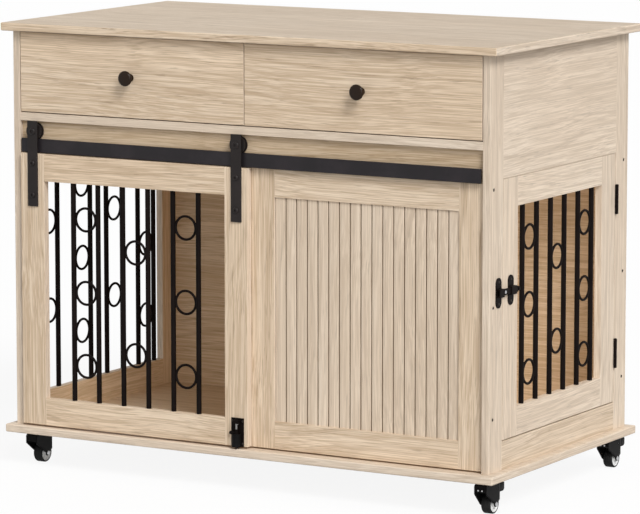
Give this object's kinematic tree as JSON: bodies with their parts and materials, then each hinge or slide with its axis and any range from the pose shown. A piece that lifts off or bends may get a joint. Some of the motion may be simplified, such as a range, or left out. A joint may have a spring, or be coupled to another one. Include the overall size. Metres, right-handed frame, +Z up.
{
  "type": "dog crate side table",
  "caption": "Wooden dog crate and side table on casters: drawers above a barred cabin with a sliding barn door on a track, a hinged barred side door and a fluted panel.",
  "frame": {"origin": "on the floor, at the middle of the crate's plan", "axes": "+Z up, the front with the drawers and the barn door faces -Y, +X to the right seen from the front"},
  "size_m": [1.1, 0.6356, 0.8853],
  "materials": {
    "oak": "matt light oak",
    "black_metal": "satin black powder coat",
    "steel": "zinc plated",
    "tyre": "matt",
    "hub": "satin grey",
    "pedal": "satin black"
  },
  "bodies": {
    "carcass": {"top_board": "oak", "base_board": "oak", "front_posts": "oak", "rear_posts": "oak", "side_upper_panels": "oak", "side_lower_aprons": "oak", "left_side_grille": "black_metal", "drawer_shelf": "oak", "drawer_partition": "oak", "header_board": "oak", "fixed_panel_stiles": "oak", "fixed_panel_rails": "oak", "fluted_panel": "oak", "back_panel": "oak", "door_track": "black_metal", "track_fixings": "black_metal", "fixing_screws": "steel", "drawer_channels": "steel", "hinge_post_leaves": "black_metal", "latch_keeper": "black_metal", "caster_plates": "steel"},
    "left_drawer": {"left_drawer_front": "oak", "left_drawer_box": "oak", "left_drawer_knob": "black_metal", "left_drawer_rails": "steel"},
    "right_drawer": {"right_drawer_front": "oak", "right_drawer_box": "oak", "right_drawer_knob": "black_metal", "right_drawer_rails": "steel"},
    "barn_door": {"barn_door_stiles": "oak", "barn_door_rails": "oak", "barn_door_grille": "black_metal", "hanger_straps": "black_metal", "hanger_bolts": "black_metal", "barn_bolt_plate": "black_metal"},
    "left_hanger_roller": {"left_roller": "black_metal"},
    "right_hanger_roller": {"right_roller": "black_metal"},
    "drop_bolt": {"barn_bolt": "black_metal"},
    "side_door": {"side_door_stiles": "oak", "side_door_rails": "oak", "side_door_grille": "black_metal", "hinge_door_leaves": "black_metal", "side_latch_plate": "black_metal"},
    "latch_bolt": {"side_latch_bolt": "black_metal"},
    "front_left_caster": {"front_left_caster_fork": "black_metal"},
    "front_left_wheel": {"front_left_caster_tyre": "tyre", "front_left_caster_hub": "hub"},
    "front_right_caster": {"front_right_caster_fork": "black_metal"},
    "front_right_wheel": {"front_right_caster_tyre": "tyre", "front_right_caster_hub": "hub"},
    "rear_left_caster": {"rear_left_caster_fork": "black_metal"},
    "rear_left_wheel": {"rear_left_caster_tyre": "tyre", "rear_left_caster_hub": "hub"},
    "rear_right_caster": {"rear_right_caster_fork": "black_metal"},
    "rear_right_wheel": {"rear_right_caster_tyre": "tyre", "rear_right_caster_hub": "hub"},
    "front_right_pedal": {"front_right_brake_pedal": "pedal"},
    "rear_right_pedal": {"rear_right_brake_pedal": "pedal"}
  },
  "joints": [
    {"name": "left_drawer_slide", "type": "slide", "parent": "carcass", "child": "left_drawer", "axis": [0, -1, 0], "range_m": [0, 0.36]},
    {"name": "right_drawer_slide", "type": "slide", "parent": "carcass", "child": "right_drawer", "axis": [0, -1, 0], "range_m": [0, 0.36]},
    {"name": "barn_door_slide", "type": "slide", "parent": "carcass", "child": "barn_door", "axis": [1, 0, 0], "range_m": [0, 0.5]},
    {"name": "left_roller_spin", "type": "hinge", "parent": "barn_door", "child": "left_hanger_roller", "pos_m": [-0.4805, -0.29325, 0.6729], "axis": [0, 1, 0], "continuous": true},
    {"name": "right_roller_spin", "type": "hinge", "parent": "barn_door", "child": "right_hanger_roller", "pos_m": [-0.0125, -0.29325, 0.6729], "axis": [0, 1, 0], "continuous": true},
    {"name": "drop_bolt_slide", "type": "slide", "parent": "barn_door", "child": "drop_bolt", "axis": [0, 0, -1], "range_m": [0, 0.01]},
    {"name": "side_door_swing", "type": "hinge", "parent": "carcass", "child": "side_door", "pos_m": [0.5335, 0.23525, 0.4233], "axis": [0, 0, 1], "range_deg": [0, 170]},
    {"name": "latch_bolt_slide", "type": "slide", "parent": "side_door", "child": "latch_bolt", "axis": [0, -1, 0], "range_m": [0, 0.009]},
    {"name": "front_left_caster_swivel", "type": "hinge", "parent": "carcass", "child": "front_left_caster", "pos_m": [-0.506, -0.25525, 0.062], "axis": [0, 0, 1], "continuous": true},
    {"name": "front_left_wheel_spin", "type": "hinge", "parent": "front_left_caster", "child": "front_left_wheel", "pos_m": [-0.506, -0.24025, 0.019], "axis": [1, 0, 0], "continuous": true},
    {"name": "front_right_caster_swivel", "type": "hinge", "parent": "carcass", "child": "front_right_caster", "pos_m": [0.506, -0.25525, 0.062], "axis": [0, 0, 1], "continuous": true},
    {"name": "front_right_wheel_spin", "type": "hinge", "parent": "front_right_caster", "child": "front_right_wheel", "pos_m": [0.506, -0.24025, 0.019], "axis": [1, 0, 0], "continuous": true},
    {"name": "rear_left_caster_swivel", "type": "hinge", "parent": "carcass", "child": "rear_left_caster", "pos_m": [-0.506, 0.26375, 0.062], "axis": [0, 0, 1], "continuous": true},
    {"name": "rear_left_wheel_spin", "type": "hinge", "parent": "rear_left_caster", "child": "rear_left_wheel", "pos_m": [-0.506, 0.27875, 0.019], "axis": [1, 0, 0], "continuous": true},
    {"name": "rear_right_caster_swivel", "type": "hinge", "parent": "carcass", "child": "rear_right_caster", "pos_m": [0.506, 0.26375, 0.062], "axis": [0, 0, 1], "continuous": true},
    {"name": "rear_right_wheel_spin", "type": "hinge", "parent": "rear_right_caster", "child": "rear_right_wheel", "pos_m": [0.506, 0.27875, 0.019], "axis": [1, 0, 0], "continuous": true},
    {"name": "front_right_pedal_press", "type": "hinge", "parent": "front_right_caster", "child": "front_right_pedal", "pos_m": [0.506, -0.23525, 0.048], "axis": [-1, 0, 0], "range_deg": [0, 12]},
    {"name": "rear_right_pedal_press", "type": "hinge", "parent": "rear_right_caster", "child": "rear_right_pedal", "pos_m": [0.506, 0.28375, 0.048], "axis": [-1, 0, 0], "range_deg": [0, 12]}
  ],
  "couplings": [
    {"joint": "left_roller_spin", "follows": "barn_door_slide", "rad_per_m": 68.493},
    {"joint": "right_roller_spin", "follows": "barn_door_slide", "rad_per_m": 68.493}
  ]
}
